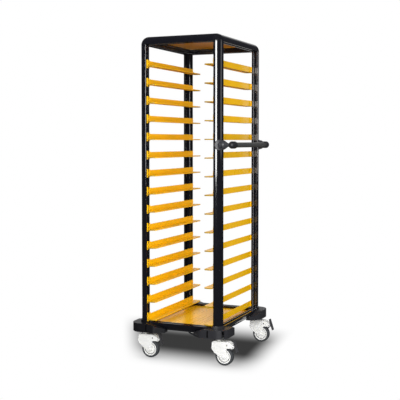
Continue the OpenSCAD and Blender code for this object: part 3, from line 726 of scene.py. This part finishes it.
# Axle caps and cheek rivets
# A white nylon cap snaps over each end of the axle, and a dark steel rivet in each cheek holds the swivel's
# inner ring. Both are pressed in.
CAP = [(0.0, 0.0049), (0.0020, 0.0049), (0.0026, 0.0046), (0.0034, 0.0049), (0.0060, 0.0046),
       (0.0074, 0.0036), (0.0078, 0.0002), (0.0, 0.0002)]
RIVET = [(0.0, 0.0006), (0.0020, 0.0006), (0.0032, 0.0004), (0.0036, 0.0), (0.0036, -0.0012), (0.0, -0.0012)]
RIVET_AHEAD = 0.020
RIVET_Z = 0.113
rivet_steel = clouded(
    "burnished_steel", patch=0.002, detail=3.0, dark=(0.060, 0.060, 0.062), light=(0.110, 0.108, 0.105),
    smooth=0.38, dull=0.58, relief=None, depth=0.0001, strength=0.3, Metallic=0.8)
for c in CORNERS:
    low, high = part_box(f"fork_{c}")
    wheel_low, wheel_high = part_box(f"wheel_{c}")
    axle = (wheel_low + wheel_high) / 2
    caps = bmesh.new()
    rivets = bmesh.new()
    for cheek, way in ((low.y, -1.0), (high.y, 1.0)):
        out = Vector((0.0, way, 0.0))
        rivet_spot = Vector((axle.x + RIVET_AHEAD, cheek, RIVET_Z))
        add_shape(caps, turned(CAP, Vector((axle.x, cheek, axle.z)), out, closed=False, steps=40))
        add_shape(rivets, turned(RIVET, rivet_spot, out, closed=False, steps=24))
    piece(f"axle_caps_{c}", caps, [nylon], f"swivel_{c}", "white_nylon")
    piece(f"cheek_rivets_{c}", rivets, [rivet_steel], f"swivel_{c}", "zinc_steel")

# Wheels
# White nylon discs, moulded with a hub that turns on the axle, a slightly domed web, a ring groove painted
# grey as painted shade, and a raised rim for the tyre.
HALF_WHEEL = [(0.00405, 0.0169), (0.0110, 0.0169), (0.0122, 0.0158), (0.0132, 0.0122), (0.0150, 0.0112),
              (0.0220, 0.0119), (0.0276, 0.0116), (0.0286, 0.0110), (0.0290, 0.0080), (0.0318, 0.0080),
              (0.0322, 0.0122), (0.0330, 0.0130), (0.0390, 0.0130), (0.0400, 0.0124)]
GROOVE_INNER = 0.0287
GROOVE_OUTER = 0.0320
groove_shade = clouded(
    "groove_painted_shade", patch=0.006, detail=3.0, dark=(0.16, 0.16, 0.155), light=(0.30, 0.30, 0.29),
    smooth=0.55, dull=0.75, relief=None, depth=0.0002, strength=0.3, IOR=1.45)
for c in CORNERS:
    low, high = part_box(f"wheel_{c}")
    hub = (low + high) / 2
    outline = HALF_WHEEL + [(radius, -width) for radius, width in reversed(HALF_WHEEL)]
    disc = turned(outline, hub, Vector((0.0, 1.0, 0.0)), steps=96)
    for face in disc.faces:
        from_hub = face.calc_center_median() - hub
        radius = Vector((from_hub.x, from_hub.z)).length
        # Painted shade: faces in the ring groove take a grey finish.
        face.material_index = int(GROOVE_INNER < radius < GROOVE_OUTER)
    finishes = [nylon, groove_shade]
    piece(f"wheel_{c}_disc", disc, finishes, f"roller_{c}", "white_nylon", f"wheel_{c}", crease=30.0)

# Tyres
# Grey rubber, moulded on the rim: a bead over the rim's edge, a fine line round each wall, round shoulders,
# and a flat tread with the mould's parting line round its middle.
SHOULDER_RADIUS = 0.0046
SHOULDER_AT = (0.0452, 0.0094)
SHOULDER = [(SHOULDER_AT[0] + SHOULDER_RADIUS * sin(radians(turn)),
             SHOULDER_AT[1] + SHOULDER_RADIUS * cos(radians(turn))) for turn in range(0, 91, 15)]
BEAD = [(0.04002, 0.0131), (0.0387, 0.0132), (0.0388, 0.0137), (0.0405, 0.0140)]
WALL_LINE = [(0.0430, 0.0140), (0.0434, 0.0135), (0.0438, 0.0140)]
HALF_TREAD = [(0.0500, 0.0040), (0.0500, 0.0008), (0.0497, 0.0003)]
HALF_TYRE = BEAD + WALL_LINE + SHOULDER + HALF_TREAD
rubber = clouded(
    "grey_rubber", patch=0.012, detail=4.0, dark=(0.030, 0.034, 0.038), light=(0.050, 0.054, 0.058),
    smooth=0.58, dull=0.76, relief=(0.0010, 3.0), depth=0.0003, strength=0.3, IOR=1.5)
for c in CORNERS:
    low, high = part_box(f"tyre_{c}")
    outline = HALF_TYRE + [(radius, -width) for radius, width in reversed(HALF_TYRE)]
    tyre = turned(outline, (low + high) / 2, Vector((0.0, 1.0, 0.0)), steps=96)
    piece(f"tyre_{c}_rubber", tyre, [rubber], f"roller_{c}", "grey_tyre", f"tyre_{c}", crease=30.0)

# Brake pedals
# Rockers moulded in dark grey nylon, on a pin between the horn's ears. Each has a grooved plate for the foot
# and a shoe that is pressed against the tread.
PEDAL_ROUND = 0.0008
GROOVE_PITCH = 0.007
GROOVES_EACH_WAY = 3
STRIP_INSET = 0.0013
STRIP_DEPTH = 0.0007
pedal_grey = clouded(
    "dark_grey_nylon", patch=0.02, detail=4.0, dark=(0.034, 0.034, 0.037), light=(0.050, 0.050, 0.054),
    smooth=0.40, dull=0.56, relief=(0.0010, 2.0), depth=0.0002, strength=0.3, IOR=1.46)
for c in CORNERS:
    rocker = solid_copy(f"pedal_{c}")
    round_edges(rocker, PEDAL_ROUND)
    plate = max((f for f in rocker.faces if f.normal.x > 0.5), key=lambda f: f.calc_area())
    plate_out = plate.normal.copy()
    plate_middle = plate.calc_center_median()
    plate_up = plate_out.cross(Vector((0.0, 1.0, 0.0)))
    strips = [plate]
    for groove in range(-GROOVES_EACH_WAY, GROOVES_EACH_WAY + 1):
        edges = list({e for f in strips for e in f.edges})
        verts = list({v for f in strips for v in f.verts})
        cut = plate_middle + plate_up * GROOVE_PITCH * groove
        bmesh.ops.bisect_plane(rocker, geom=strips + edges + verts, dist=1e-6, plane_co=cut,
                               plane_no=plate_up)
        level = [f for f in rocker.faces if f.normal.dot(plate_out) > 0.999]
        strips = [f for f in level if abs((f.calc_center_median() - plate_middle).dot(plate_out)) < TOUCH]
    bmesh.ops.inset_individual(rocker, faces=strips, thickness=STRIP_INSET, depth=-STRIP_DEPTH,
                               use_even_offset=True)
    piece(f"pedal_{c}_rocker", rocker, [pedal_grey], f"brake_{c}", "pedal_plastic", f"pedal_{c}")
